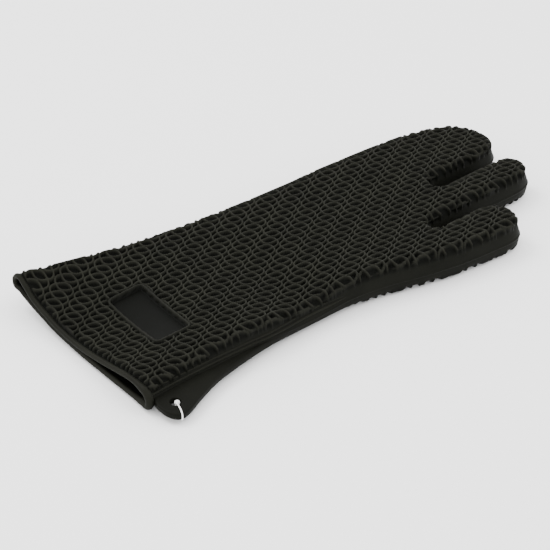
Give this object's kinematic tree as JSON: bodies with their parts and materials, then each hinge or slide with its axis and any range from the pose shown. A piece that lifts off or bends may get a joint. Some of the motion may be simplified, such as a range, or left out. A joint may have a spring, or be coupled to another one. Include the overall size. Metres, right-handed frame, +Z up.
{
  "type": "heat resistant glove",
  "caption": "Moulded silicone barbecue gauntlet with a ribbed grip pattern, a wide finger mitt, an index finger, a thumb, a label frame and a tagged hanging tab.",
  "frame": {"origin": "centre of the glove's outline box, on the ground under it", "axes": "+X from the cuff to the fingertips, +Y across the hand away from the thumb, +Z up from the palm to the back"},
  "size_m": [0.35, 0.1662, 0.024],
  "materials": {
    "silicone": "matte",
    "ribbed_silicone": "matte",
    "nylon": "satin"
  },
  "bodies": {
    "hand": {"cuff_back_wall": "silicone", "cuff_back_ribs": "ribbed_silicone", "label_frame": "silicone", "label_panel": "silicone", "cuff_palm_wall": "silicone", "cuff_palm_ribs": "ribbed_silicone", "cuff_far_side": "silicone", "cuff_near_side": "silicone", "rim_back": "silicone", "rim_palm": "silicone", "hanging_tab": "silicone", "seam_bead": "silicone", "hand_back_wall": "silicone", "hand_back_ribs": "ribbed_silicone", "hand_palm_wall": "silicone", "hand_palm_ribs": "ribbed_silicone", "hand_far_side": "silicone", "hand_near_side": "silicone", "index_web": "silicone", "thumb_web": "silicone"},
    "mitt": {"mitt_back_wall": "silicone", "mitt_back_ribs": "ribbed_silicone", "mitt_palm_wall": "silicone", "mitt_palm_ribs": "ribbed_silicone", "mitt_side": "silicone"},
    "index": {"index_back_wall": "silicone", "index_back_ribs": "ribbed_silicone", "index_palm_wall": "silicone", "index_palm_ribs": "ribbed_silicone", "index_side": "silicone"},
    "thumb": {"thumb_back_wall": "silicone", "thumb_back_ribs": "ribbed_silicone", "thumb_palm_wall": "silicone", "thumb_palm_ribs": "ribbed_silicone", "thumb_side": "silicone"},
    "tag": {"tag_loop": "nylon", "tag_head": "nylon"}
  },
  "joints": [
    {"name": "mitt_curl", "type": "hinge", "parent": "hand", "child": "mitt", "pos_m": [0.119, 0.029, 0.012], "axis": [0, 1, 0], "range_deg": [-15, 60], "stiffness_Nm_per_rad": 0.4},
    {"name": "index_curl", "type": "hinge", "parent": "hand", "child": "index", "pos_m": [0.119, -0.024, 0.012], "axis": [0, 1, 0], "range_deg": [-15, 60], "stiffness_Nm_per_rad": 0.25},
    {"name": "thumb_curl", "type": "hinge", "parent": "hand", "child": "thumb", "pos_m": [0.085, -0.0605, 0.012], "axis": [0, 1, 0], "range_deg": [-15, 60], "stiffness_Nm_per_rad": 0.25},
    {"name": "tag_swing", "type": "hinge", "parent": "hand", "child": "tag", "pos_m": [-0.1619, -0.0717, 0.007], "axis": [0, 0, 1], "range_deg": [-25, 25]}
  ]
}
